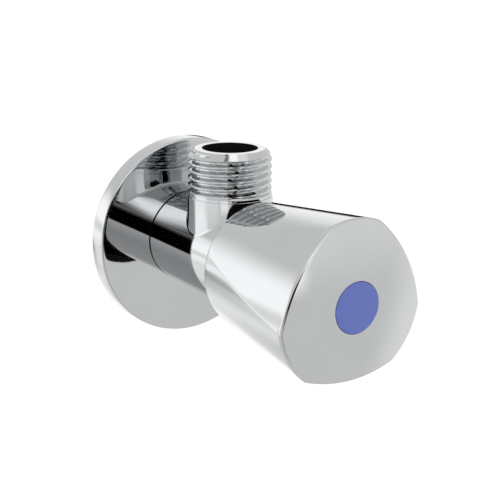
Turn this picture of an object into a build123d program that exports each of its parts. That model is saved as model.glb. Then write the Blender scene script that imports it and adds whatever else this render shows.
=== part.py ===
from build123d import *
import os
from math import cos, radians, sin, sqrt

os.makedirs("parts", exist_ok=True)

# Quarter-turn angle valve, in millimetres.
# The origin is the middle of the wall flange's rear rim. The valve's axis runs out of the
# wall along -Y, and the outlet points up, along +Z. Distances called start or end are
# measured from the wall plane outwards.

# Wall flange: a pressed disc with a turned-back rim
flange_radius = 26.4
flange_depth = 5.5
flange_wall = 1.0
flange_hole_radius = 11.6
flange_edge_round = 0.5
grommet_lip_radius = 13.6
grommet_lip_thickness = 1.2

# Threads of both ports: major radius of the half-inch pipe thread
thread_radius = 10.4775
thread_chamfer = 1.7

# Inlet, behind the wall plane
inlet_reach = 14.5
inlet_thread_length = 15.5
inlet_neck_radius = 9.3
inlet_bore_radius = 6.0
inlet_bore_chamfer = 0.5

# Barrel and outlet of the body
barrel_radius = 12.33
barrel_length = 38.5
barrel_mouth_chamfer = 0.4
barrel_rear_chamfer = 0.25
outlet_distance = 19.5
outlet_neck_stand_out = 2.87
outlet_thread_length = 11.8
outlet_neck_radius = 10.7
outlet_bore_radius = 7.0
outlet_bore_chamfer = 0.35
outlet_bore_depth = 16.5
outlet_port_radius = 5.4
outlet_root_round = 1.0

# Valve insert, screwed into the barrel's mouth
insert_reach = 27.5
chamber_radius = 9.3
barrel_wall = 2.13
insert_thread_length = 8.4
skirt_radius = 8.85
skirt_bore_radius = 8.0
shoulder_depth = 8.7
undercut_depth = 0.4
undercut_length = 1.6
hexagon_corner_step = 0.206
hexagon_height = 4.5
neck_radius = 6.5
neck_length = 5.0
window_width_angle = 100.0
window_margin = 0.5

# Ring between the hexagon and the mouth
mouth_ring_section = 0.7
mouth_ring_gap = 0.07

# Seat seal and ceramic discs
seal_height = 2.5
seal_stand_out = 0.6
seal_inner_radius = 6.7
support_ring_wall = 0.7
disc_thickness = 3.0
moving_disc_radius = 7.4
port_outer_radius = 5.9
port_inner_radius = 1.5
port_width_angle = 80.0
disc_key_width = 3.0
noise_ring_wall = 0.3
noise_slot_count = 12
noise_slot_angle = 16.0
noise_slot_share = 2 / 3

# Spindle
shaft_radius = 3.95
stem_radius = 3.4
foot_radius = 7.2
foot_width = 4.6
foot_height = 2.0
tang_length = 1.1
tang_depth = 1.5
collar_radius = 5.2
collar_height = 2.5
ear_radius = 7.55
ear_width_angle = 50.0
lug_inner_radius = 5.6
turn_angle = 90.0
stop_play_angle = 0.5
glide_washer_thickness = 0.8
o_ring_section = 0.53
o_ring_pitch = 4.0
clip_thickness = 0.8
clip_radius = 5.0
clip_groove_depth = 0.75
clip_opening_angle = 60.0
neck_washer_thickness = 0.6
spline_tip_radius = 3.9
spline_root_radius = 3.45
spline_count = 20
spline_gap = 1.1
screw_hole_depth = 10.0

# Knob
knob_overlap = 5.7
knob_length = 38.0
knob_rear_gap = 1.47
knob_corner_spread = 3.96
knob_side_spread = 1.75
knob_rear_side_step = 0.05
knob_side_arc_radius = 36.0
knob_corner_count = 3
knob_dome_rise = 1.7
knob_wall = 2.0
knob_edge_bevel = 0.6
knob_rear_bevel = 0.4
hub_wall = 1.5
hub_floor_thickness = 2.5
rib_thickness = 1.6
rib_height = 13.0
face_recess_depth = 11.5
bush_across_flats = 11.0

# Screw, spring washer and index button
screw_radius = 2.0
screw_length = 9.0
screw_head_radius = 3.8
screw_head_height = 2.6
screw_head_round = 1.56
screw_slot_width = 1.0
screw_slot_length = 4.6
screw_slot_depth = 1.5
spring_washer_thickness = 0.9
button_radius = 5.98
button_thickness = 1.6
button_skirt_length = 2.4
button_skirt_wall = 0.9
button_step = 0.35

# Clearances
fit_gap = 0.05
running_gap = 0.06
loose_gap = 0.3

# Sizes across the axis that follow the barrel
insert_thread_radius = barrel_radius - barrel_wall - fit_gap
undercut_radius = insert_thread_radius - undercut_depth
mouth_ring_radius = undercut_radius + mouth_ring_gap + mouth_ring_section
hexagon_across_flats = (barrel_radius - hexagon_corner_step) * sqrt(3)
knob_rear_radius = barrel_radius + knob_rear_gap + knob_wall
knob_corner_radius = knob_rear_radius + knob_corner_spread
knob_side_radius = knob_rear_radius + knob_side_spread
knob_rear_side_radius = knob_rear_radius - knob_rear_side_step

# Places along the axis, from the wall outwards
barrel_end = flange_depth + barrel_length
outlet_centre = flange_depth + outlet_distance
outlet_neck_height = barrel_radius + outlet_neck_stand_out
outlet_height = outlet_neck_height + outlet_thread_length
seat = barrel_end - insert_reach
fixed_disc_start = seat + seal_height
moving_disc_start = fixed_disc_start + disc_thickness
moving_disc_end = moving_disc_start + disc_thickness
shoulder = barrel_end - shoulder_depth
collar_end = shoulder - glide_washer_thickness
collar_start = collar_end - collar_height
hexagon_end = barrel_end + hexagon_height
neck_end = hexagon_end + neck_length
neck_washer_end = neck_end + neck_washer_thickness
clip_end = neck_washer_end + clip_thickness
knob_rear = barrel_end - knob_overlap
knob_apex = knob_rear + knob_length
hub_floor_end = knob_apex - face_recess_depth + hub_floor_thickness
hub_floor_start = knob_apex - face_recess_depth
spline_start = clip_end + spline_gap
spline_end = hub_floor_start - loose_gap
washer_end = hub_floor_end + spring_washer_thickness
button_seat = knob_apex - button_thickness

# A plane with the axis along its first direction and the radius along its second
side_plane = Plane(origin=(0, 0, 0), x_dir=(0, -1, 0), z_dir=(-1, 0, 0))
outlet_plane = Plane(origin=(0, -outlet_centre, 0), x_dir=(1, 0, 0), z_dir=(0, 0, 1))


def across(distance):
    """Plane across the valve's axis, facing out of the wall."""
    return Plane.XZ.offset(distance)


def ring_sector(distance, inner_radius, outer_radius, middle_angle, width_angle):
    """Flat part of a ring, about the valve's axis."""
    first_angle = middle_angle - width_angle / 2
    with BuildSketch(across(distance)) as sector:
        with BuildLine():
            outer_arc = CenterArc((0, 0), outer_radius, first_angle, width_angle)
            inner_arc = CenterArc((0, 0), inner_radius, first_angle, width_angle)
            Line(outer_arc @ 0, inner_arc @ 0)
            Line(outer_arc @ 1, inner_arc @ 1)
        make_face()
    return sector.sketch


def turned_profile(*points):
    """Closed profile of (distance from the wall, radius) points, to revolve."""
    with BuildSketch(side_plane) as profile:
        with BuildLine():
            Polyline(*points, close=True)
        make_face()
    return profile.sketch


def serration(distance, tip_radius, root_radius):
    """Section of the fine triangular splines."""
    step = 180 / spline_count
    points = []
    for index in range(spline_count):
        tip_angle = radians(2 * index * step)
        root_angle = radians((2 * index + 1) * step)
        points.append((tip_radius * cos(tip_angle), tip_radius * sin(tip_angle)))
        points.append((root_radius * cos(root_angle), root_radius * sin(root_angle)))
    with BuildSketch(across(distance)) as section:
        with BuildLine():
            Polyline(*points, close=True)
        make_face()
    return section.sketch


# Body: barrel with its inlet thread behind and its outlet on top
with BuildPart() as body:
    inlet_end = -inlet_reach
    inlet_thread_end = inlet_end + inlet_thread_length
    revolve(
        turned_profile(
            (inlet_end, 0),
            (inlet_end, thread_radius - thread_chamfer / 2),
            (inlet_end + thread_chamfer / 2, thread_radius),
            (inlet_thread_end, thread_radius),
            (inlet_thread_end, inlet_neck_radius),
            (flange_depth, inlet_neck_radius),
            (flange_depth, barrel_radius - barrel_rear_chamfer),
            (flange_depth + barrel_rear_chamfer, barrel_radius),
            (barrel_end - barrel_mouth_chamfer, barrel_radius),
            (barrel_end, barrel_radius - barrel_mouth_chamfer),
            (barrel_end, 0),
        ),
        axis=Axis.Y,
    )
    with BuildSketch(outlet_plane):
        Circle(outlet_neck_radius)
    extrude(amount=outlet_neck_height)
    fillet(body.edges().filter_by(GeomType.BSPLINE), outlet_root_round)
    with BuildSketch(outlet_plane):
        Circle(thread_radius)
    extrude(amount=outlet_height)
    chamfer(body.faces().sort_by(Axis.Z)[-1].outer_wire().edges(), thread_chamfer)
    thread_bore_radius = insert_thread_radius + fit_gap
    thread_bore_end = barrel_end - undercut_length
    thread_bore_start = thread_bore_end - insert_thread_length
    counterbore_radius = mouth_ring_radius + mouth_ring_section + fit_gap
    revolve(
        turned_profile(
            (inlet_end, 0),
            (inlet_end, inlet_bore_radius + inlet_bore_chamfer),
            (inlet_end + inlet_bore_chamfer, inlet_bore_radius),
            (seat, inlet_bore_radius),
            (seat, chamber_radius),
            (thread_bore_start, chamber_radius),
            (thread_bore_start, thread_bore_radius),
            (thread_bore_end, thread_bore_radius),
            (thread_bore_end, counterbore_radius),
            (barrel_end, counterbore_radius),
            (barrel_end, 0),
        ),
        axis=Axis.Y,
        mode=Mode.SUBTRACT,
    )
    with BuildSketch(outlet_plane):
        Circle(outlet_port_radius)
    extrude(amount=outlet_height, mode=Mode.SUBTRACT)
    with BuildSketch(outlet_plane.offset(outlet_height)):
        Circle(outlet_bore_radius)
    extrude(amount=-outlet_bore_depth, mode=Mode.SUBTRACT)
    chamfer(body.faces().sort_by(Axis.Z)[-1].inner_wires()[0].edges(), outlet_bore_chamfer)
body.part.label = "body"

# Wall flange: the disc seats against the barrel's rear shoulder
with BuildPart() as wall_flange:
    plate_back = flange_depth - flange_wall
    rim_inner_radius = flange_radius - flange_wall
    revolve(
        turned_profile(
            (0, flange_radius),
            (flange_depth, flange_radius),
            (flange_depth, flange_hole_radius),
            (plate_back, flange_hole_radius),
            (plate_back, rim_inner_radius),
            (0, rim_inner_radius),
        ),
        axis=Axis.Y,
    )
    flat_faces = wall_flange.faces().filter_by(GeomType.PLANE).sort_by(Axis.Y)
    fillet(flat_faces[0].outer_wire().edges(), flange_edge_round)
    fillet(flat_faces[1].outer_wire().edges(), flange_edge_round)
wall_flange.part.label = "wall_flange"

# Rubber bush in the flange's hole, with a lip behind the plate
with BuildPart() as flange_grommet:
    grommet_bore = thread_radius + running_gap
    revolve(
        turned_profile(
            (plate_back - grommet_lip_thickness, grommet_bore),
            (plate_back - grommet_lip_thickness, grommet_lip_radius),
            (plate_back, grommet_lip_radius),
            (plate_back, flange_hole_radius - fit_gap),
            (flange_depth, flange_hole_radius - fit_gap),
            (flange_depth, grommet_bore),
        ),
        axis=Axis.Y,
    )
flange_grommet.part.label = "flange_grommet"

# Valve insert: skirt round the discs, thread, hexagon and neck
with BuildPart() as cartridge_housing:
    skirt_start = seat + seal_stand_out
    shaft_bore = shaft_radius + running_gap
    with BuildSketch(across(barrel_end)):
        RegularPolygon(hexagon_across_flats / 2, 6, major_radius=False)
    extrude(amount=hexagon_height)
    hexagon_bevel = hexagon_across_flats / 2 * (2 / sqrt(3) - 1) / 2
    chamfer(cartridge_housing.edges().group_by(Axis.Y)[0], hexagon_bevel)
    revolve(
        turned_profile(
            (skirt_start, 0),
            (skirt_start, skirt_radius),
            (thread_bore_start, skirt_radius),
            (thread_bore_start, insert_thread_radius),
            (thread_bore_end, insert_thread_radius),
            (thread_bore_end, undercut_radius),
            (barrel_end, undercut_radius),
            (barrel_end, neck_radius),
            (neck_end, neck_radius),
            (neck_end, 0),
        ),
        axis=Axis.Y,
    )
    revolve(
        turned_profile(
            (skirt_start, 0),
            (skirt_start, skirt_bore_radius),
            (shoulder, skirt_bore_radius),
            (shoulder, shaft_bore),
            (neck_end, shaft_bore),
            (neck_end, 0),
        ),
        axis=Axis.Y,
        mode=Mode.SUBTRACT,
    )
    window_start = moving_disc_end + window_margin
    window_height = collar_start - window_margin - window_start
    stop_free_angle = turn_angle + ear_width_angle + 2 * stop_play_angle
    lug_width_angle = 180 - stop_free_angle
    for side_angle in (90, 270):
        window = ring_sector(
            window_start, shaft_radius, chamber_radius, side_angle, window_width_angle
        )
        extrude(window, amount=window_height, mode=Mode.SUBTRACT)
        lug = ring_sector(
            collar_start, lug_inner_radius, skirt_bore_radius + fit_gap, side_angle, lug_width_angle
        )
        extrude(lug, amount=shoulder - collar_start)
    with BuildSketch(across(skirt_start)):
        Rectangle(disc_key_width + 2 * fit_gap, 2 * chamber_radius)
        Circle(skirt_bore_radius - fit_gap, mode=Mode.SUBTRACT)
    extrude(amount=moving_disc_start - skirt_start, mode=Mode.SUBTRACT)
cartridge_housing.part.label = "cartridge_housing"

# Rubber ring under the hexagon
with BuildPart() as mouth_o_ring:
    mouth_ring_place = barrel_end - undercut_length / 2
    with BuildSketch(side_plane):
        with Locations((mouth_ring_place, mouth_ring_radius)):
            Circle(mouth_ring_section)
    revolve(axis=Axis.Y)
mouth_o_ring.part.label = "mouth_o_ring"

# Rubber ring pressed between the seat and the fixed disc
with BuildPart() as seat_seal:
    revolve(
        turned_profile(
            (seat, seal_inner_radius),
            (seat, skirt_bore_radius - loose_gap),
            (skirt_start, skirt_bore_radius - fit_gap),
            (fixed_disc_start, skirt_bore_radius - fit_gap),
            (fixed_disc_start, seal_inner_radius),
        ),
        axis=Axis.Y,
    )
seat_seal.part.label = "seat_seal"

# Stiff ring that keeps the seat seal round
with BuildPart() as seal_support_ring:
    support_outer_radius = seal_inner_radius - fit_gap
    with BuildSketch(across(skirt_start)):
        Circle(support_outer_radius)
        Circle(support_outer_radius - support_ring_wall, mode=Mode.SUBTRACT)
    extrude(amount=fixed_disc_start - skirt_start)
seal_support_ring.part.label = "seal_support_ring"

# Fixed ceramic disc, keyed to the skirt, with its two ports to the sides
with BuildPart() as fixed_disc:
    with BuildSketch(across(fixed_disc_start)):
        Circle(skirt_bore_radius - fit_gap)
        Rectangle(disc_key_width, 2 * (skirt_radius - fit_gap))
    extrude(amount=disc_thickness)
    for port_angle in (0, 180):
        port = ring_sector(
            fixed_disc_start, port_inner_radius, port_outer_radius, port_angle, port_width_angle
        )
        extrude(port, amount=disc_thickness, mode=Mode.SUBTRACT)
fixed_disc.part.label = "fixed_disc"

# Moving ceramic disc: closed at rest, its ports a quarter turn away
with BuildPart() as moving_disc:
    with BuildSketch(across(moving_disc_start)):
        Circle(moving_disc_radius)
    extrude(amount=disc_thickness)
    for port_angle in (90, 270):
        port = ring_sector(
            moving_disc_start, port_inner_radius, port_outer_radius, port_angle, port_width_angle
        )
        extrude(port, amount=disc_thickness, mode=Mode.SUBTRACT)
    notch_middle = foot_radius - tang_length / 2
    notch_width = foot_width + 2 * fit_gap
    with BuildSketch(across(moving_disc_end)):
        with Locations((notch_middle, 0), (-notch_middle, 0)):
            Rectangle(tang_length + 2 * fit_gap, notch_width)
    extrude(amount=-tang_depth - fit_gap, mode=Mode.SUBTRACT)
moving_disc.part.label = "moving_disc"

# Slotted ring inside the windows
with BuildPart() as noise_ring:
    noise_ring_start = moving_disc_end + loose_gap
    noise_ring_height = collar_start - loose_gap - noise_ring_start
    noise_outer_radius = skirt_bore_radius - fit_gap
    noise_inner_radius = noise_outer_radius - noise_ring_wall
    with BuildSketch(across(noise_ring_start)):
        Circle(noise_outer_radius)
        Circle(noise_inner_radius, mode=Mode.SUBTRACT)
    extrude(amount=noise_ring_height)
    slot_height = noise_ring_height * noise_slot_share
    slot_start = noise_ring_start + (noise_ring_height - slot_height) / 2
    for index in range(noise_slot_count):
        slot = ring_sector(
            slot_start,
            foot_radius,
            skirt_bore_radius,
            360 * (index + 0.5) / noise_slot_count,
            noise_slot_angle,
        )
        extrude(slot, amount=slot_height, mode=Mode.SUBTRACT)
noise_ring.part.label = "noise_ring"

# Washer between the collar and the shoulder
with BuildPart() as glide_washer:
    with BuildSketch(across(collar_end)):
        Circle(lug_inner_radius - loose_gap)
        Circle(shaft_radius + loose_gap, mode=Mode.SUBTRACT)
    extrude(amount=glide_washer_thickness)
glide_washer.part.label = "glide_washer"

# Spindle: driving foot, stop ears, sealed shaft, clip groove and splines
with BuildPart() as spindle:
    groove_radius = shaft_radius - 2 * o_ring_section - fit_gap
    groove_half = o_ring_section + running_gap
    groove_middle = (shoulder + neck_end) / 2
    groove_places = [groove_middle - o_ring_pitch / 2, groove_middle + o_ring_pitch / 2]
    clip_groove_radius = shaft_radius - clip_groove_depth
    revolve(
        turned_profile(
            (moving_disc_end, 0),
            (moving_disc_end, stem_radius),
            (collar_start, stem_radius),
            (collar_start, collar_radius),
            (collar_end, collar_radius),
            (collar_end, shaft_radius),
            (groove_places[0] - groove_half, shaft_radius),
            (groove_places[0] - groove_half, groove_radius),
            (groove_places[0] + groove_half, groove_radius),
            (groove_places[0] + groove_half, shaft_radius),
            (groove_places[1] - groove_half, shaft_radius),
            (groove_places[1] - groove_half, groove_radius),
            (groove_places[1] + groove_half, groove_radius),
            (groove_places[1] + groove_half, shaft_radius),
            (neck_washer_end, shaft_radius),
            (neck_washer_end, clip_groove_radius),
            (clip_end, clip_groove_radius),
            (clip_end, shaft_radius),
            (spline_start, shaft_radius),
            (spline_start, 0),
        ),
        axis=Axis.Y,
    )
    with BuildSketch(across(moving_disc_end)):
        Rectangle(2 * foot_radius, foot_width)
        Circle(foot_radius, mode=Mode.INTERSECT)
    extrude(amount=foot_height)
    with BuildSketch(across(moving_disc_end)):
        with Locations((notch_middle, 0), (-notch_middle, 0)):
            Rectangle(tang_length, foot_width)
        Circle(foot_radius, mode=Mode.INTERSECT)
    extrude(amount=-tang_depth)
    first_ear_angle = 90 + lug_width_angle / 2 + stop_play_angle + ear_width_angle / 2
    for ear_angle in (first_ear_angle, first_ear_angle + 180):
        ear = ring_sector(
            collar_start, collar_radius - fit_gap, ear_radius, ear_angle, ear_width_angle
        )
        extrude(ear, amount=collar_height)
    extrude(serration(spline_start, spline_tip_radius, spline_root_radius),
            amount=spline_end - spline_start)
    with Locations(across(spline_end)):
        Hole(screw_radius + fit_gap, depth=screw_hole_depth)
spindle.part.label = "spindle"

# Two rubber rings in the spindle's grooves
with BuildPart() as spindle_o_rings:
    with BuildSketch(side_plane):
        o_ring_radius = shaft_radius - o_ring_section
        with Locations(*[(place, o_ring_radius) for place in groove_places]):
            Circle(o_ring_section)
    revolve(axis=Axis.Y)
spindle_o_rings.part.label = "spindle_o_rings"

# Washer on the neck, under the clip
with BuildPart() as neck_washer:
    with BuildSketch(across(neck_end)):
        Circle(neck_radius - loose_gap)
        Circle(shaft_radius + loose_gap, mode=Mode.SUBTRACT)
    extrude(amount=neck_washer_thickness)
neck_washer.part.label = "neck_washer"

# Open ring that holds the spindle in the insert
with BuildPart() as spindle_clip:
    clip_form = ring_sector(
        neck_washer_end, clip_groove_radius + fit_gap, clip_radius, 90, 360 - clip_opening_angle
    )
    extrude(clip_form, amount=clip_thickness)
spindle_clip.part.label = "spindle_clip"

# Plastic bush between the splines and the hub's six-sided socket
with BuildPart() as spline_insert:
    with BuildSketch(across(spline_start)):
        RegularPolygon(bush_across_flats / 2, 6, major_radius=False)
    extrude(amount=hub_floor_start - spline_start)
    extrude(
        serration(spline_start, spline_tip_radius + fit_gap, spline_root_radius + fit_gap),
        amount=hub_floor_start - spline_start,
        mode=Mode.SUBTRACT,
    )
spline_insert.part.label = "spline_insert"


def knob_form(start, inset):
    """The knob's outer form, or the same form set in by a wall.

    A cone with a low domed face, flattened by three wide curved sides that begin as next
    to nothing at the rear rim and widen towards the face, which leaves three round corners.
    """
    rim = knob_apex - knob_dome_rise
    flare = (knob_corner_radius - knob_rear_radius) / (rim - knob_rear)
    side_slope = (knob_side_radius - knob_rear_side_radius) / (rim - knob_rear)
    dome_radius = (knob_corner_radius**2 + knob_dome_rise**2) / (2 * knob_dome_rise)
    dome_centre = knob_apex - dome_radius
    dome_reach = dome_radius - inset
    start_radius = knob_rear_radius - inset + flare * (start - knob_rear)
    bevel_point = (start + knob_rear_bevel, start_radius + flare * knob_rear_bevel)
    rim_radius = knob_corner_radius - inset
    rim_point = (dome_centre + sqrt(dome_reach**2 - rim_radius**2), rim_radius)
    dome_point = (dome_centre + sqrt(dome_reach**2 - (rim_radius / 2) ** 2), rim_radius / 2)
    apex_point = (dome_centre + dome_reach, 0)
    side_directions = []
    for index in range(knob_corner_count):
        side_angle = radians(90 + 360 / knob_corner_count * (index + 0.5))
        side_directions.append(Vector(cos(side_angle), 0, sin(side_angle)))
    out_of_wall = Vector(0, -1, 0)
    with BuildPart() as form:
        with BuildSketch(Plane((0, 0, 0), out_of_wall, out_of_wall.cross(side_directions[0]))):
            with BuildLine():
                Polyline(
                    apex_point,
                    (start, 0),
                    (start, start_radius - knob_rear_bevel),
                    bevel_point,
                    rim_point,
                )
                ThreePointArc(rim_point, dome_point, apex_point)
            make_face()
        revolve(axis=Axis.Y)
        for outwards in side_directions:
            side_axis = out_of_wall + outwards * side_slope
            rear_middle = out_of_wall * knob_rear + outwards * (
                knob_rear_side_radius - knob_side_arc_radius
            )
            with BuildSketch(Plane(origin=rear_middle - side_axis * knob_length, z_dir=side_axis)):
                Circle(knob_side_arc_radius - inset)
            extrude(amount=3 * knob_length, mode=Mode.INTERSECT)
    return form.part


# Space inside the knob, with the hub and its ribs left standing
with BuildPart() as knob_cavity:
    bush_corner_radius = bush_across_flats / sqrt(3)
    hub_radius = max(button_radius, bush_corner_radius) + fit_gap + hub_wall
    add(knob_form(knob_rear - loose_gap, knob_wall))
    with BuildSketch(across(spline_start)):
        Circle(hub_radius)
    extrude(amount=knob_length, mode=Mode.SUBTRACT)
    with BuildSketch(across(knob_apex - rib_height)):
        with PolarLocations(knob_corner_radius / 2, knob_corner_count, start_angle=90):
            Rectangle(knob_corner_radius, rib_thickness)
    extrude(amount=rib_height, mode=Mode.SUBTRACT)

# Knob: one moulding with its hub, bush socket, screw hole and button recess
with BuildPart() as knob_shell:
    add(knob_form(knob_rear, 0))
    chamfer(knob_shell.faces().sort_by(Axis.Y)[0].outer_wire().edges(), knob_edge_bevel)
    add(knob_cavity.part, mode=Mode.SUBTRACT)
    with BuildSketch(across(spline_start)):
        RegularPolygon(bush_across_flats / 2 + fit_gap, 6, major_radius=False)
    extrude(amount=hub_floor_start - spline_start, mode=Mode.SUBTRACT)
    with BuildSketch(across(hub_floor_start)):
        Circle(screw_radius + loose_gap)
    extrude(amount=hub_floor_thickness, mode=Mode.SUBTRACT)
    with BuildSketch(across(hub_floor_end)):
        Circle(button_radius - button_step)
    extrude(amount=button_seat - hub_floor_end, mode=Mode.SUBTRACT)
    with BuildSketch(across(button_seat)):
        Circle(button_radius + fit_gap)
    extrude(amount=2 * button_thickness, mode=Mode.SUBTRACT)
knob_shell.part.label = "knob_shell"

# Split spring washer under the screw's head
with BuildPart() as spring_washer:
    washer_form = ring_sector(hub_floor_end, screw_radius + loose_gap, screw_head_radius, 90, 350)
    extrude(washer_form, amount=spring_washer_thickness)
spring_washer.part.label = "spring_washer"

# Screw with a low round head and a cross recess
with BuildPart() as knob_screw:
    head_end = washer_end + screw_head_height
    with BuildSketch(across(washer_end)):
        Circle(screw_radius)
    extrude(amount=-screw_length)
    with BuildSketch(across(washer_end)):
        Circle(screw_head_radius)
    extrude(amount=screw_head_height)
    fillet(knob_screw.faces().sort_by(Axis.Y)[0].edges(), screw_head_round)
    with BuildSketch(across(head_end)):
        Rectangle(screw_slot_length, screw_slot_width)
        Rectangle(screw_slot_width, screw_slot_length)
    extrude(amount=-screw_slot_depth, mode=Mode.SUBTRACT)
knob_screw.part.label = "knob_screw"

# Index button, flush with the face, with a skirt that snaps into the recess
with BuildPart() as index_button:
    skirt_radius_out = button_radius - button_step - fit_gap
    with BuildSketch(across(button_seat)):
        Circle(button_radius)
    extrude(amount=2 * button_thickness)
    add(knob_form(knob_rear, 0), mode=Mode.INTERSECT)
    with BuildSketch(across(button_seat - button_skirt_length)):
        Circle(skirt_radius_out)
        Circle(skirt_radius_out - button_skirt_wall, mode=Mode.SUBTRACT)
    extrude(amount=button_skirt_length)
index_button.part.label = "index_button"

sub_parts = [
    body,
    wall_flange,
    flange_grommet,
    cartridge_housing,
    mouth_o_ring,
    seat_seal,
    seal_support_ring,
    fixed_disc,
    moving_disc,
    noise_ring,
    glide_washer,
    spindle,
    spindle_o_rings,
    neck_washer,
    spindle_clip,
    spline_insert,
    knob_shell,
    knob_screw,
    spring_washer,
    index_button,
]
for sub_part in sub_parts:
    export_step(sub_part.part, f"parts/{sub_part.part.label}.step")
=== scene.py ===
import math

import bmesh
import bpy
from mathutils import Matrix, Vector


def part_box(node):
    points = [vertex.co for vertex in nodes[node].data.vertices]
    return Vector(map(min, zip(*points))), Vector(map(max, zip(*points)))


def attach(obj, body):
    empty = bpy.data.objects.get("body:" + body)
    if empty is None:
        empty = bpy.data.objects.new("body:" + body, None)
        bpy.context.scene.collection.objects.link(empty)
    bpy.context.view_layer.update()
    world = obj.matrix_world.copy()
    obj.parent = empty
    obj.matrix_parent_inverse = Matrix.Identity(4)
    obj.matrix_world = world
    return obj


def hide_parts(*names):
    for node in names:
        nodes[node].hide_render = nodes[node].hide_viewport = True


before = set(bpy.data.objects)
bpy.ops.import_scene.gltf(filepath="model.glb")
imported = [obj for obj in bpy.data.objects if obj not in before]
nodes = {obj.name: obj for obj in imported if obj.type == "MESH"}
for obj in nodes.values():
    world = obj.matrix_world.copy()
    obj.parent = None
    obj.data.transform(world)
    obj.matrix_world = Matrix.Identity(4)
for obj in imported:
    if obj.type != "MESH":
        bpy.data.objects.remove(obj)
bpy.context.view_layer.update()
print("frame loaded:", len(nodes), "nodes")

mm = 0.001
fullTurn = 2 * math.pi


# Helpers for shader trees and geometry trees


def plug(tree, socket, value):
    if isinstance(value, bpy.types.NodeSocket):
        tree.links.new(value, socket)
    else:
        socket.default_value = value


def addNode(tree, kind, inputs=None, **settings):
    node = tree.nodes.new(kind)
    for name, value in settings.items():
        setattr(node, name, value)
    for key, value in (inputs or {}).items():
        plug(tree, node.inputs[key], value)
    return node


def calc(tree, operation, *values):  # one Math node, ready to plug in
    node = addNode(tree, "ShaderNodeMath", operation=operation)
    for socket, value in zip(node.inputs, values):
        plug(tree, socket, value)
    return node.outputs[0]


# Finishes


def newFinish(name, **fixed):
    material = bpy.data.materials.new(name)
    material.use_nodes = True
    tree = material.node_tree
    shader = tree.nodes["Principled BSDF"]
    for socketName, value in fixed.items():
        shader.inputs[socketName.replace("_", " ")].default_value = value
    place = addNode(tree, "ShaderNodeTexCoord").outputs["Object"]
    return material, tree, shader, place


def cloud(tree, place, scale, detail=3.0):
    noise = addNode(tree, "ShaderNodeTexNoise", {"Vector": place, "Scale": scale, "Detail": detail})
    return noise.outputs[0]


def between(tree, factor, low, high, start=0.35, end=0.65):
    spread = addNode(tree, "ShaderNodeMapRange", {0: factor, 1: start, 2: end, 3: low, 4: high})
    return spread.outputs[0]


def twoTone(tree, factor, dark, light):
    mix = addNode(tree, "ShaderNodeMix", {"Factor": factor}, data_type="RGBA")
    mix.inputs[6].default_value = (*dark, 1)
    mix.inputs[7].default_value = (*light, 1)
    return mix.outputs[2]


def bumpFrom(tree, shader, height, strength, depth):
    bump = addNode(tree, "ShaderNodeBump", {"Strength": strength, "Distance": depth, "Height": height})
    tree.links.new(bump.outputs[0], shader.inputs["Normal"])


def chromeFinish(name, values):
    material, tree, shader, place = newFinish(name, Metallic=1.0)
    broad = cloud(tree, place, values["broadScale"])
    fine = cloud(tree, place, values["fineScale"], detail=2.0)
    tone = twoTone(tree, between(tree, broad, 0.0, 1.0), values["darkTone"], values["lightTone"])
    tree.links.new(tone, shader.inputs["Base Color"])
    tree.links.new(between(tree, broad, values["polished"], values["dull"]), shader.inputs["Roughness"])
    bumpFrom(tree, shader, fine, values["peel"], values["peelDepth"])
    return material


chromeValues = {
    "darkTone": (0.545, 0.553, 0.56),
    "lightTone": (0.565, 0.573, 0.58),
    "polished": 0.025,
    "dull": 0.045,
    "broadScale": 55.0,
    "fineScale": 420.0,
    "peel": 0.04,
    "peelDepth": 0.02 * mm,
}
chromeBody = chromeFinish("chromeBody", chromeValues)
chromeKnob = chromeFinish("chromeKnob", {**chromeValues, "fineScale": 300.0})
chromeFlange = chromeFinish("chromeFlange", {**chromeValues, "broadScale": 40.0})

brassValues = {
    "dark": (0.70, 0.53, 0.25),
    "light": (0.83, 0.67, 0.36),
    "polished": 0.2,
    "dull": 0.36,
    "grainScale": 160.0,
    "ringScale": 900.0,  # fine turning marks round the valve's axis
    "ringWaver": 1.5,
    "ringShow": 0.25,
    "ringDepth": 0.01 * mm,
}
brass, tree, shader, place = newFinish("turnedBrass", Metallic=1.0)
grain = cloud(tree, place, brassValues["grainScale"])
ringInputs = {"Vector": place, "Scale": brassValues["ringScale"], "Distortion": brassValues["ringWaver"]}
rings = addNode(tree, "ShaderNodeTexWave", ringInputs, bands_direction="Y").outputs["Fac"]
brassTone = twoTone(tree, grain, brassValues["dark"], brassValues["light"])
brassPolish = between(tree, grain, brassValues["polished"], brassValues["dull"])
tree.links.new(brassTone, shader.inputs["Base Color"])
tree.links.new(brassPolish, shader.inputs["Roughness"])
bumpFrom(tree, shader, rings, brassValues["ringShow"], brassValues["ringDepth"])

grainDepth = 0.02 * mm


def plainFinish(name, values, metallic=0.0, shine=0.5):
    material, tree, shader, place = newFinish(name, Metallic=metallic, Specular_IOR_Level=shine)
    mottle = cloud(tree, place, values["scale"])
    tree.links.new(twoTone(tree, mottle, values["dark"], values["light"]), shader.inputs["Base Color"])
    tree.links.new(between(tree, mottle, values["smooth"], values["rough"]), shader.inputs["Roughness"])
    grain = cloud(tree, place, values["grainScale"], detail=4.0)
    bumpFrom(tree, shader, grain, values["grain"], grainDepth)
    return material


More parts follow.
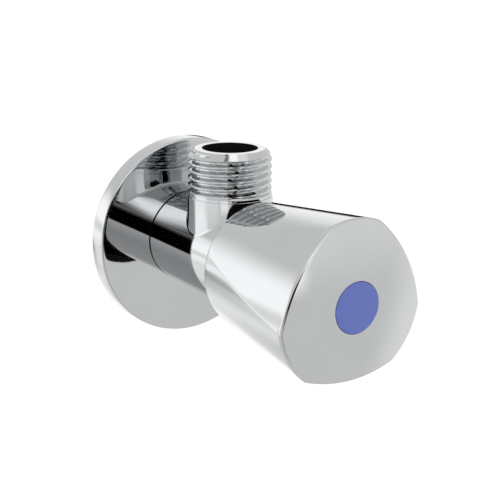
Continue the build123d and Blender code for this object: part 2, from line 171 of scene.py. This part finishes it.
steel = plainFinish("zincSteel", {
    "dark": (0.52, 0.53, 0.55),
    "light": (0.68, 0.68, 0.69),
    "scale": 700.0,
    "smooth": 0.24,
    "rough": 0.38,
    "grainScale": 1500.0,
    "grain": 0.2,
}, metallic=1.0)
ceramic = plainFinish("lappedCeramic", {
    "dark": (0.86, 0.85, 0.81),
    "light": (0.92, 0.91, 0.88),
    "scale": 500.0,
    "smooth": 0.12,
    "rough": 0.2,
    "grainScale": 1800.0,
    "grain": 0.08,
})
rubber = plainFinish("blackRubber", {
    "dark": (0.025, 0.025, 0.028),
    "light": (0.05, 0.05, 0.055),
    "scale": 600.0,
    "smooth": 0.5,
    "rough": 0.68,
    "grainScale": 2400.0,
    "grain": 0.35,
})
whitePlastic = plainFinish("naturalAcetal", {
    "dark": (0.78, 0.78, 0.75),
    "light": (0.88, 0.88, 0.86),
    "scale": 350.0,
    "smooth": 0.35,
    "rough": 0.5,
    "grainScale": 1600.0,
    "grain": 0.15,
})
bluePlastic = plainFinish("bluePlastic", {
    "dark": (0.115, 0.165, 0.52),
    "light": (0.132, 0.185, 0.57),
    "scale": 400.0,
    "smooth": 0.32,
    "rough": 0.42,
    "grainScale": 2600.0,
    "grain": 0.25,
})
# painted shade: a near-black finish for the port bores, the gap between barrel and wall flange, and the
# knob's hollow and rear lip
paintedShade = plainFinish("paintedShadeDark", {
    "dark": (0.006, 0.006, 0.007),
    "light": (0.014, 0.014, 0.015),
    "scale": 450.0,
    "smooth": 0.6,
    "rough": 0.8,
    "grainScale": 1300.0,
    "grain": 0.3,
}, shine=0.05)
print("finishes ready")


# Geometry trees: strips of points, bent round an axis by a rule

seamReach = 0.001 * mm


def startTree(name, values):
    tree = bpy.data.node_groups.new(name, "GeometryNodeTree")
    tree.interface.new_socket("Mesh", in_out="OUTPUT", socket_type="NodeSocketGeometry")
    for label, value in values.items():
        kind = "NodeSocketInt" if isinstance(value, int) else "NodeSocketFloat"
        tree.interface.new_socket(label, in_out="INPUT", socket_type=kind)
    tree.interface.new_socket("finish", in_out="INPUT", socket_type="NodeSocketMaterial")
    return tree, tree.nodes.new("NodeGroupInput").outputs


def endTree(tree, strips, finish):
    together = tree.nodes.new("GeometryNodeJoinGeometry")
    for strip in strips:
        tree.links.new(strip, together.inputs[0])
    seams = {"Geometry": together.outputs[0], "Distance": seamReach}
    welded = addNode(tree, "GeometryNodeMergeByDistance", seams)
    joined = addNode(tree, "GeometryNodeRealizeInstances", {"Geometry": welded.outputs[0]})
    painted = addNode(tree, "GeometryNodeSetMaterial", {"Geometry": joined.outputs[0], "Material": finish})
    tree.links.new(painted.outputs[0], tree.nodes.new("NodeGroupOutput").inputs[0])


def meshFromTree(tree, values, finish):
    holder = bpy.data.objects.new(tree.name, bpy.data.meshes.new(tree.name))
    bpy.context.scene.collection.objects.link(holder)
    modifier = holder.modifiers.new("form", "NODES")
    modifier.node_group = tree
    for item in tree.interface.items_tree:
        if item.in_out == "INPUT":
            modifier[item.identifier] = finish if item.name == "finish" else values[item.name]
    graph = bpy.context.evaluated_depsgraph_get()
    mesh = bpy.data.meshes.new_from_object(holder.evaluated_get(graph))
    bpy.data.objects.remove(holder)
    return mesh


def flatStrip(tree, columns, rows):  # a grid, with how far each point is round and along it, from 0 to 1
    gridInputs = {"Size X": 1.0, "Size Y": 1.0, "Vertices X": columns, "Vertices Y": rows}
    grid = addNode(tree, "GeometryNodeMeshGrid", gridInputs)
    position = tree.nodes.new("GeometryNodeInputPosition").outputs[0]
    place = addNode(tree, "ShaderNodeSeparateXYZ", {0: position})
    around, along = (calc(tree, "ADD", place.outputs[axis], 0.5) for axis in (0, 1))
    return grid.outputs[0], around, along


def bentRound(tree, grid, angle, radius, height):
    x = calc(tree, "MULTIPLY", calc(tree, "COSINE", angle), radius)
    y = calc(tree, "MULTIPLY", calc(tree, "SINE", angle), radius)
    place = addNode(tree, "ShaderNodeCombineXYZ", {0: x, 1: y, 2: height}).outputs[0]
    bent = addNode(tree, "GeometryNodeSetPosition", {"Geometry": grid, "Position": place})
    return bent.outputs[0]


def mixed(tree, factor, first, second):
    node = addNode(tree, "ShaderNodeMix", {"Factor": factor}, data_type="FLOAT")
    plug(tree, node.inputs[2], first)
    plug(tree, node.inputs[3], second)
    return node.outputs[0]


def rounded(tree, factor, first, corner, last):  # a smooth bend that heads for the corner
    towardsCorner = mixed(tree, factor, first, corner)
    fromCorner = mixed(tree, factor, corner, last)
    return mixed(tree, factor, towardsCorner, fromCorner)


# Mesh helpers

mergeReach = 0.0005 * mm


def mergedCopy(node):
    form = bmesh.new()
    form.from_mesh(nodes[node].data)
    bmesh.ops.remove_doubles(form, verts=form.verts, dist=mergeReach)
    form.normal_update()
    return form


def cutAway(form, isGone):
    gone = [face for face in form.faces if isGone(face.calc_center_median(), face.normal)]
    bmesh.ops.delete(form, geom=gone, context="FACES")


def joinRims(form, isRim):  # closes the gap between two open rims
    edges = [edge for edge in form.edges if edge.is_boundary and all(isRim(vert.co) for vert in edge.verts)]
    bmesh.ops.bridge_loops(form, edges=edges)


def piece(name, form, finishes, body, slot, *replaced, sharpAngle=32.0):
    form.normal_update()
    for face in form.faces:
        face.smooth = True
    for edge in form.edges:
        edge.smooth = edge.calc_face_angle(0.0) < math.radians(sharpAngle)
    mesh = bpy.data.meshes.new(name)
    form.to_mesh(mesh)
    openEdges = sum(edge.is_boundary for edge in form.edges)
    form.free()
    for finish in finishes:
        mesh.materials.append(finish)
    shape = bpy.data.objects.new(name, mesh)
    bpy.context.scene.collection.objects.link(shape)
    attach(shape, body)
    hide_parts(*replaced)
    print(name, "made:", len(mesh.polygons), "faces,", openEdges, "open edges")
    return shape


# Threads of both ports

outletThread = {
    "start": 15.2 * mm,
    "end": 27.0 * mm,
    "crest": 10.4775 * mm,
    "depth": 1.162 * mm,
    "pitch": 1.814 * mm,
    "chamfer": 1.7 * mm,
    "soft": 0.13 * mm,
    "plain": 0.7 * mm,  # smooth length above the neck
    "runOut": 0.7 * mm,
    "columns": 161,
    "rows": 121,
}
inletThread = {
    **outletThread,
    "start": -1.0 * mm,
    "end": 14.5 * mm,
    "plain": 0.0,
    "chamfer": 0.85 * mm,
    "rows": 141,
}
flankHeight = 0.9605  # height of the sharp 55 degree form, in pitches

tree, given = startTree("pipeThread", outletThread)
grid, around, along = flatStrip(tree, given["columns"], given["rows"])
height = mixed(tree, along, given["start"], given["end"])
turns = calc(tree, "SUBTRACT", calc(tree, "DIVIDE", height, given["pitch"]), around)
wave = calc(tree, "SUBTRACT", calc(tree, "MULTIPLY", calc(tree, "PINGPONG", turns, 0.5), 2.0), 0.5)
middle = calc(tree, "SUBTRACT", given["crest"], calc(tree, "MULTIPLY", given["depth"], 0.5))
flank = calc(tree, "MULTIPLY_ADD", wave, calc(tree, "MULTIPLY", given["pitch"], flankHeight), middle)
root = calc(tree, "SUBTRACT", given["crest"], given["depth"])
aboveRoot = calc(tree, "SMOOTH_MAX", flank, root, given["soft"])
groove = calc(tree, "SMOOTH_MIN", aboveRoot, given["crest"], given["soft"])
cutLength = calc(tree, "SUBTRACT", calc(tree, "SUBTRACT", height, given["start"]), given["plain"])
runIn = addNode(tree, "ShaderNodeMapRange", {0: cutLength, 1: 0.0, 2: given["runOut"], 3: 0.0, 4: 1.0},
                interpolation_type="SMOOTHSTEP")
thread = mixed(tree, runIn.outputs[0], given["crest"], groove)
endRadius = calc(tree, "SUBTRACT", given["crest"], given["chamfer"])
lead = calc(tree, "ADD", endRadius, calc(tree, "SUBTRACT", given["end"], height))
radius = calc(tree, "MINIMUM", thread, lead)
angle = calc(tree, "MULTIPLY", around, fullTurn)
endTree(tree, [bentRound(tree, grid, angle, radius, height)], given["finish"])
threadTree = tree

# Body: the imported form, with its smooth crest cylinders changed for real threads

bodyValues = {
    "outletPlace": Vector((0, -25.0 * mm, 0)),
    "outletMouth": 7.0 * mm,
    "outletFloor": 11.0 * mm,
    "inletMouth": 6.5 * mm,
    "inletFloor": -8.0 * mm,
    "portReach": 11.0 * mm,  # wider than either thread
    "barrel": 12.33 * mm,
    "rearChamfer": 0.25 * mm,
    "flangeFace": 5.5 * mm,
    "margin": 0.05 * mm,
}


def outletRadius(point):
    return math.hypot(point.x, point.y - bodyValues["outletPlace"].y)


def axisRadius(point):
    return math.hypot(point.x, point.z)


margin = bodyValues["margin"]
form = mergedCopy("body")
cutAway(form, lambda point, normal: point.z > outletThread["start"] - margin
        and outletRadius(point) > bodyValues["outletMouth"] + margin)
cutAway(form, lambda point, normal: point.y > inletThread["start"] - margin
        and axisRadius(point) > bodyValues["inletMouth"] + margin)
for vert in form.verts:  # the bore runs sharp to the end face
    if vert.is_boundary and outletRadius(vert.co) < bodyValues["outletMouth"] + margin:
        vert.co.z = outletThread["end"]
threadMesh = meshFromTree(threadTree, outletThread, chromeBody)
threadMesh.transform(Matrix.Translation(bodyValues["outletPlace"]))
form.from_mesh(threadMesh)
threadMesh = meshFromTree(threadTree, inletThread, chromeBody)
threadMesh.transform(Matrix.Rotation(-math.pi / 2, 4, "X"))
form.from_mesh(threadMesh)
portReach = bodyValues["portReach"]
for level in (outletThread["start"], outletThread["end"]):
    joinRims(form, lambda point: abs(point.z - level) < margin and outletRadius(point) < portReach)
for level in (inletThread["start"], inletThread["end"]):
    joinRims(form, lambda point: abs(point.y - level) < margin and axisRadius(point) < portReach)
bmesh.ops.recalc_face_normals(form, faces=form.faces)
chamferReach = bodyValues["barrel"] - bodyValues["rearChamfer"]
chamferEnd = bodyValues["flangeFace"] + bodyValues["rearChamfer"]


def inPaintedShade(point):  # painted shade: inside both ports, and the fine gap between the barrel and the wall flange
    fromOutlet, fromAxis = outletRadius(point), axisRadius(point)
    inOutlet = point.z > bodyValues["outletFloor"] and fromOutlet < bodyValues["outletMouth"] + margin
    inInlet = point.y > bodyValues["inletFloor"] and fromAxis < bodyValues["inletMouth"] - margin
    besideFlange = bodyValues["flangeFace"] - margin < -point.y < chamferEnd
    return inOutlet or inInlet or (besideFlange and fromAxis > chamferReach - margin)


# painted shade: faces in the bores and in the barrel's gap at the flange get the near-black finish
for face in form.faces:
    face.material_index = int(inPaintedShade(face.calc_center_median()))
piece("valveBody", form, [chromeBody, paintedShade], "valve_body", "chrome_body", "body")

# Knob: a cone with three wide curved sides and a low dome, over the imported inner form

knobValues = {
    "rear": 38.3 * mm,
    "rim": 74.6 * mm,
    "apex": 76.3 * mm,
    "rearRadius": 15.8 * mm,
    "cornerRadius": 19.76 * mm,
    "rearSide": 15.75 * mm,
    "frontSide": 17.55 * mm,
    "sideArc": 36.0 * mm,
    "creaseSoftness": 0.015 * mm,
    "rearRound": 0.4 * mm,
    "frontRound": 0.65 * mm,
    "recess": 6.03 * mm,
    "recessRound": 0.06 * mm,
    "seat": 74.7 * mm,
    "columns": 541,
    "rows": 40,
    "edgeRows": 11,
}
skinLimits = {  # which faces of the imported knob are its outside
    "reach": 12.0 * mm,
    "outwards": 0.3,
    "frontwards": 0.6,
    "rearwards": 0.9,
    "faceDepth": 0.8 * mm,
}
firstSide = math.radians(30)

tree, given = startTree("knobSkin", knobValues)
length = calc(tree, "SUBTRACT", given["rim"], given["rear"])
flare = calc(tree, "DIVIDE", calc(tree, "SUBTRACT", given["cornerRadius"], given["rearRadius"]), length)
sideSlope = calc(tree, "DIVIDE", calc(tree, "SUBTRACT", given["frontSide"], given["rearSide"]), length)
squash = calc(tree, "DIVIDE", 1.0, calc(tree, "MULTIPLY_ADD", sideSlope, sideSlope, 1.0))
domeRise = calc(tree, "SUBTRACT", given["apex"], given["rim"])
domeSum = calc(tree, "MULTIPLY_ADD", given["cornerRadius"], given["cornerRadius"],
               calc(tree, "MULTIPLY", domeRise, domeRise))
domeRadius = calc(tree, "DIVIDE", domeSum, calc(tree, "MULTIPLY", domeRise, 2.0))
domeCentre = calc(tree, "SUBTRACT", given["apex"], domeRadius)


def squared(value):
    return calc(tree, "MULTIPLY", value, value)


def skinRadius(distance, angle):  # the nearer of the cone and the curved side
    beyond = calc(tree, "SUBTRACT", distance, given["rear"])
    cone = calc(tree, "MULTIPLY_ADD", beyond, flare, given["rearRadius"])
    rearOffset = calc(tree, "SUBTRACT", given["rearSide"], given["sideArc"])
    offset = calc(tree, "MULTIPLY_ADD", beyond, sideSlope, rearOffset)
    turn = calc(tree, "WRAP", calc(tree, "SUBTRACT", angle, firstSide), fullTurn / 6, -fullTurn / 6)
    cosine, sine = calc(tree, "COSINE", turn), calc(tree, "SINE", turn)
    a = calc(tree, "MULTIPLY_ADD", squared(cosine), squash, squared(sine))
    b = calc(tree, "MULTIPLY", calc(tree, "MULTIPLY", offset, cosine), squash)
    c = calc(tree, "SUBTRACT", calc(tree, "MULTIPLY", squared(offset), squash), squared(given["sideArc"]))
    inside = calc(tree, "SUBTRACT", squared(b), calc(tree, "MULTIPLY", a, c))
    side = calc(tree, "DIVIDE", calc(tree, "ADD", b, calc(tree, "SQRT", inside)), a)
    return calc(tree, "SMOOTH_MIN", cone, side, given["creaseSoftness"])


def domeHeight(reach):
    rise = calc(tree, "SQRT", calc(tree, "SUBTRACT", squared(domeRadius), squared(reach)))
    return calc(tree, "ADD", domeCentre, rise)


def knobStrip(rows, shape):  # shape gives the radius and height of each point
    grid, around, along = flatStrip(tree, given["columns"], rows)
    angle = calc(tree, "MULTIPLY", around, fullTurn)
    return bentRound(tree, grid, angle, *shape(angle, along))


def rearEdge(angle, along):
    top = calc(tree, "ADD", given["rear"], given["rearRound"])
    lip = skinRadius(given["rear"], angle)
    inner = calc(tree, "SUBTRACT", lip, given["rearRound"])
    radius = rounded(tree, along, inner, lip, skinRadius(top, angle))
    return radius, rounded(tree, along, given["rear"], given["rear"], top)


def sideSkin(angle, along):
    corner = domeHeight(skinRadius(given["rim"], angle))
    height = mixed(tree, along, calc(tree, "ADD", given["rear"], given["rearRound"]),
                   calc(tree, "SUBTRACT", corner, given["frontRound"]))
    return skinRadius(height, angle), height


def frontEdge(angle, along):
    corner = domeHeight(skinRadius(given["rim"], angle))
    start = calc(tree, "SUBTRACT", corner, given["frontRound"])
    cornerRadius = skinRadius(corner, angle)
    reach = calc(tree, "SUBTRACT", cornerRadius, given["frontRound"])
    radius = rounded(tree, along, skinRadius(start, angle), cornerRadius, reach)
    return radius, rounded(tree, along, start, corner, domeHeight(reach))


def faceSkin(angle, along):
    corner = domeHeight(skinRadius(given["rim"], angle))
    outer = calc(tree, "SUBTRACT", skinRadius(corner, angle), given["frontRound"])
    reach = mixed(tree, along, outer, calc(tree, "ADD", given["recess"], given["recessRound"]))
    return reach, domeHeight(reach)


def recessEdge(angle, along):
    outer = calc(tree, "ADD", given["recess"], given["recessRound"])
    corner = domeHeight(given["recess"])
    radius = rounded(tree, along, outer, given["recess"], given["recess"])
    lowest = calc(tree, "SUBTRACT", corner, given["recessRound"])
    return radius, rounded(tree, along, domeHeight(outer), corner, lowest)


shapes = [(given["edgeRows"], rearEdge), (given["rows"], sideSkin), (given["edgeRows"], frontEdge),
          (given["rows"], faceSkin), (given["edgeRows"], recessEdge)]
endTree(tree, [knobStrip(rows, shape) for rows, shape in shapes], given["finish"])

form = mergedCopy("knob_shell")


def isSkin(point, normal):
    distance, reach = -point.y, axisRadius(point)
    outwards = (point.x * normal.x + point.z * normal.z) / reach
    onSide = reach > skinLimits["reach"] and outwards > skinLimits["outwards"]
    nearFace = distance > knobValues["seat"] - skinLimits["faceDepth"] and reach > knobValues["recess"]
    onFace = nearFace and normal.y < -skinLimits["frontwards"]
    onLip = normal.y > skinLimits["rearwards"] and distance < knobValues["rear"] + margin
    inRecess = distance > knobValues["seat"] + margin and reach < knobValues["recess"] + margin
    return onSide or onFace or onLip or inRecess


cutAway(form, isSkin)
shadedHollow = set(form.faces)  # painted shade: these inside faces get the near-black finish
skin = meshFromTree(tree, knobValues, chromeKnob)
skin.transform(Matrix.Rotation(math.pi / 2, 4, "X"))
form.from_mesh(skin)
joinRims(form, lambda point: -point.y < knobValues["rear"] + margin)
joinRims(form, lambda point: -point.y > knobValues["seat"] - margin)
bmesh.ops.recalc_face_normals(form, faces=form.faces)
form.normal_update()
# painted shade: the hollow's inside faces and the rear lip that faces the wall get the near-black finish
for face in form.faces:
    facesWall = face.normal.y > skinLimits["rearwards"]
    onRearLip = facesWall and -face.calc_center_median().y < knobValues["rear"] + margin
    face.material_index = int(face in shadedHollow or onRearLip)
piece("knobShell", form, [chromeKnob, paintedShade], "knob", "chrome_knob", "knob_shell", sharpAngle=40.0)


# Turned pieces: closed outlines of (distance from the wall, radius, rounding), spun round the valve's axis


def softened(outline, steps=6):
    points = []
    for index, (distance, radius, softness) in enumerate(outline):
        corner = Vector((distance, radius))
        if softness == 0:
            points.append(corner)
            continue
        before = Vector(outline[index - 1][:2]) - corner
        after = Vector(outline[(index + 1) % len(outline)][:2]) - corner
        first, last = (corner + side.normalized() * softness for side in (before, after))
        for step in range(steps + 1):
            share = step / steps
            points.append(first.lerp(corner, share).lerp(corner.lerp(last, share), share))
    return points


def turned(outline, columns=256):
    form = bmesh.new()
    rings = []
    for distance, radius in outline:
        ring = []
        for index in range(columns if radius > 0 else 1):
            angle = fullTurn * index / columns
            ring.append(form.verts.new((radius * math.cos(angle), -distance, radius * math.sin(angle))))
        rings.append(ring)
    for ring, following in zip(rings, rings[1:] + rings[:1]):
        for index in range(columns):
            corners = {ring[index % len(ring)]: 0, ring[(index + 1) % len(ring)]: 0,
                       following[(index + 1) % len(following)]: 0, following[index % len(following)]: 0}
            if len(corners) > 2:
                form.faces.new(corners)
    bmesh.ops.recalc_face_normals(form, faces=form.faces)
    return form


flangeValues = {
    "radius": 26.4 * mm,
    "depth": 5.5 * mm,
    "wall": 1.0 * mm,
    "hole": 11.6 * mm,
    "edge": 0.5 * mm,
    "rearEdge": 0.15 * mm,
    "holeEdge": 0.1 * mm,
    "bend": 0.3 * mm,  # inside, between plate and rim
    "dish": 0.15 * mm,  # how far the pressed face sinks towards the barrel
    "dishSteps": 24,
}
plateBack = flangeValues["depth"] - flangeValues["wall"]
rimInside = flangeValues["radius"] - flangeValues["wall"]
faceWidth = flangeValues["radius"] - 2 * flangeValues["edge"] - flangeValues["hole"]
dishShares = [step / flangeValues["dishSteps"] for step in range(flangeValues["dishSteps"], -1, -1)]


def dished(share):  # a point of the face, from the hole's edge at 0 to the rim at 1
    sunk = flangeValues["dish"] * (1 - share * share)
    return (flangeValues["depth"] - sunk, flangeValues["hole"] + share * faceWidth, 0)


outline = softened([
    (0, rimInside, flangeValues["rearEdge"]),
    (0, flangeValues["radius"], flangeValues["edge"]),
    (flangeValues["depth"], flangeValues["radius"], flangeValues["edge"]),
    *[dished(share) for share in dishShares],
    (plateBack, flangeValues["hole"], flangeValues["holeEdge"]),
    (plateBack, rimInside, flangeValues["bend"]),
])
piece("wallFlange", turned(outline), [chromeFlange], "flange", "chrome_flange", "wall_flange")

buttonValues = {"radius": 5.93 * mm, "edge": 0.12 * mm}
buttonBack, buttonFront = (-corner.y for corner in reversed(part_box("index_button")))
outline = softened([
    (buttonBack, 0, 0),
    (buttonBack, buttonValues["radius"], 0),
    (buttonFront, buttonValues["radius"], buttonValues["edge"]),
    (buttonFront, 0, 0),
])
piece("indexButton", turned(outline), [bluePlastic], "knob", "blue_plastic", "index_button")
print("turned pieces made")

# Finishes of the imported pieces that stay

finishOf = [
    (brass, ["cartridge_housing", "spindle"]),
    (steel, ["spindle_clip", "knob_screw", "spring_washer"]),
    (ceramic, ["fixed_disc", "moving_disc"]),
    (rubber, ["flange_grommet", "mouth_o_ring", "seat_seal", "spindle_o_rings"]),
    (whitePlastic, ["seal_support_ring", "noise_ring", "glide_washer", "neck_washer", "spline_insert"]),
]
for finish, names in finishOf:
    for name in names:
        nodes[name].data.materials.clear()
        nodes[name].data.materials.append(finish)

# Floor, studio and camera


def stagePlane(name, corners, material):
    mesh = bpy.data.meshes.new(name)
    mesh.from_pydata(corners, [], [list(range(len(corners)))])
    mesh.materials.append(material)
    plane = bpy.data.objects.new(name, mesh)
    bpy.context.scene.collection.objects.link(plane)
    return plane


def towards(azimuth, elevation):  # azimuth 0 looks from the knob's side, 90 from the right
    a, e = math.radians(azimuth), math.radians(elevation)
    return Vector((math.sin(a) * math.cos(e), -math.cos(a) * math.cos(e), math.sin(e)))


studio = {
    "softLight": 0.9,
    "walls": 0.88,
    "cards": {  # left, right, low and high edge, the softness of each, all in degrees, and the brightness
        "rightWall": ((54.5, 124, -35.5, -4), (15, 30, 10, 8), 1.14),
        "rightWindow": ((21, 60, -9, 33), (7.5, 16, 15, 20), 1.05),
        "overheadBox": ((-36.5, 28.5, 71, 90), (10, 14, 6, 2), 1.61),
        "overheadRight": ((20, 62, 59.5, 73.5), (10, 20, 6, 6), 1.17),
        "overheadFlag": ((-74, -48, 70.5, 85), (6, 6, 4, 2), 0.25),
        "rearOverheadBox": ((-185, -162, 38, 49), (5, 5, 4, 2), 1.5),
        "rearOverheadFlag": ((-184, -167, 48, 56), (5, 5, 2, 4.5), 0.36),
        "lowTable": ((-29, 14.5, -44, -12), (11.5, 8, 9, 8), 0.6),
        "rearTable": ((148, 210, -32.5, -25.5), (8, 10, 6, 8), 1.17),
        "frontBox": ((-29.5, -1.5, 6.5, 31.5), (8, 10, 6, 9.5), 2.16),
        "blackFlag": ((-40, 10.5, -8.8, 16), (3.5, 7, 1.7, 16.5), 0.0),
        "flagFoot": ((-4.5, 13.5, -18.5, -4), (3.5, 4.5, 3, 4), 0.02),
        "frontWindow": ((-4.5, 29, 1, 60), (11, 5, 7.5, 20), 1.0),
        "tallBox": ((16, 22, -12.5, 16.5), (3, 6.5, 6.5, 10), 1.59),
        "leftBox": ((-159.5, -99, -14.5, 15.5), (9.5, 11, 2, 12.5), 1.6),
        "leftBoxFoot": ((-139, -107, -22, -11), (3, 8, 6, 2.5), 1.9),
        "leftGlow": ((-161, -64, -26.5, -11), (6.5, 5, 6.5, 13), 1.21),
        "leftFrontBox": ((-58.5, -38, -18.5, -10), (10.5, 5, 6, 4.5), 1.34),
        "rearRightBox": ((138.5, 156, 4, 27), (8, 17.5, 3, 13.5), 1.21),
        "rearFlag": ((135, 162, -21.5, 1.8), (3, 4, 6, 6), 0.0),
        "stripe": ((-164, -133, -6, 0), (4, 4, 5, 4.5), 1.16),
        "darkPatch": ((-144, -139.5, -20, -7), (2, 1, 4, 2.5), 0.56),
        "rearDarkPatch": ((-172, -157.5, -19, -11.5), (8, 4, 8.5, 2), 0.58),
    },
}

world = bpy.data.worlds.new("studio")
bpy.context.scene.world = world
world.use_nodes = True
tree = world.node_tree
direction = addNode(tree, "ShaderNodeTexCoord").outputs["Generated"]
sight = addNode(tree, "ShaderNodeSeparateXYZ", {0: direction}).outputs
azimuth = calc(tree, "DEGREES", calc(tree, "ARCTAN2", sight[0], calc(tree, "MULTIPLY", sight[1], -1.0)))
elevation = calc(tree, "DEGREES", calc(tree, "ARCSINE", sight[2]))
mirrored = studio["walls"]


def past(value, edge, soft):  # 0 before the edge, 1 after it, smooth between
    limits = {0: value, 1: edge - soft / 2, 2: edge + soft / 2, 3: 0.0, 4: 1.0}
    return addNode(tree, "ShaderNodeMapRange", limits, interpolation_type="SMOOTHSTEP").outputs[0]


def withinCard(value, low, high, lowSoft, highSoft):
    return calc(tree, "SUBTRACT", past(value, low, lowSoft), past(value, high, highSoft))


for edges, softness, brightness in studio["cards"].values():
    left, right, low, high = edges
    leftSoft, rightSoft, lowSoft, highSoft = softness
    middle = (left + right) / 2
    aside = calc(tree, "WRAP", calc(tree, "SUBTRACT", azimuth, middle), 180.0, -180.0)
    across = withinCard(aside, left - middle, right - middle, leftSoft, rightSoft)
    upwards = withinCard(elevation, low, high, lowSoft, highSoft)
    mirrored = mixed(tree, calc(tree, "MULTIPLY", across, upwards), mirrored, brightness)
rays = tree.nodes.new("ShaderNodeLightPath").outputs
glossy = calc(tree, "MAXIMUM", rays["Is Glossy Ray"], rays["Is Transmission Ray"])
level = mixed(tree, rays["Is Camera Ray"], mixed(tree, glossy, studio["softLight"], mirrored), 1.0)
tree.links.new(level, tree.nodes["Background"].inputs["Strength"])
tree.nodes["Background"].inputs["Color"].default_value = (1, 1, 1, 1)

floorValues = {"level": -0.11, "reach": 3.0, "colour": (0.8, 0.8, 0.8, 1), "backdrop": 0.35}
floorFinish, tree, shader, place = newFinish("paleFloor", Roughness=1.0, Base_Color=floorValues["colour"])
rays = tree.nodes.new("ShaderNodeLightPath").outputs
shader.inputs["Emission Color"].default_value = (1, 1, 1, 1)
backdrop = calc(tree, "MULTIPLY", rays["Is Camera Ray"], floorValues["backdrop"])
tree.links.new(backdrop, shader.inputs["Emission Strength"])
reach, level = floorValues["reach"], floorValues["level"]
corners = [(-reach, -reach, level), (reach, -reach, level), (reach, reach, level), (-reach, reach, level)]
floor = stagePlane("floor", corners, floorFinish)
floor.visible_glossy = False  # the studio's own surroundings are what the chrome mirrors

cameraValues = {
    "azimuth": -33.967,
    "elevation": 16.108,
    "roll": 0.472,
    "distance": 273.622 * mm,
    "aim": Vector((0, -28.0 * mm, 0)),
    "aside": 3.514 * mm,
    "above": 1.286 * mm,
    "lens": 78.05,
    "nearest": 0.01,
}
back = towards(cameraValues["azimuth"], cameraValues["elevation"])
bearing = math.radians(cameraValues["azimuth"])
flatRight = Vector((math.cos(bearing), math.sin(bearing), 0))
flatUp = back.cross(flatRight)
roll = math.radians(cameraValues["roll"])
right = flatRight * math.cos(roll) + flatUp * math.sin(roll)
up = flatUp * math.cos(roll) - flatRight * math.sin(roll)
eye = (cameraValues["aim"] + right * cameraValues["aside"] + up * cameraValues["above"]
       + back * cameraValues["distance"])
cameraData = bpy.data.cameras.new("camera")
cameraData.lens = cameraValues["lens"]
cameraData.clip_start = cameraValues["nearest"]
camera = bpy.data.objects.new("camera", cameraData)
camera.matrix_world = Matrix.Translation(eye) @ Matrix((right, up, back)).transposed().to_4x4()
bpy.context.scene.collection.objects.link(camera)
bpy.context.scene.camera = camera
bpy.context.scene.view_settings.view_transform = "Standard"

print("scene ready")
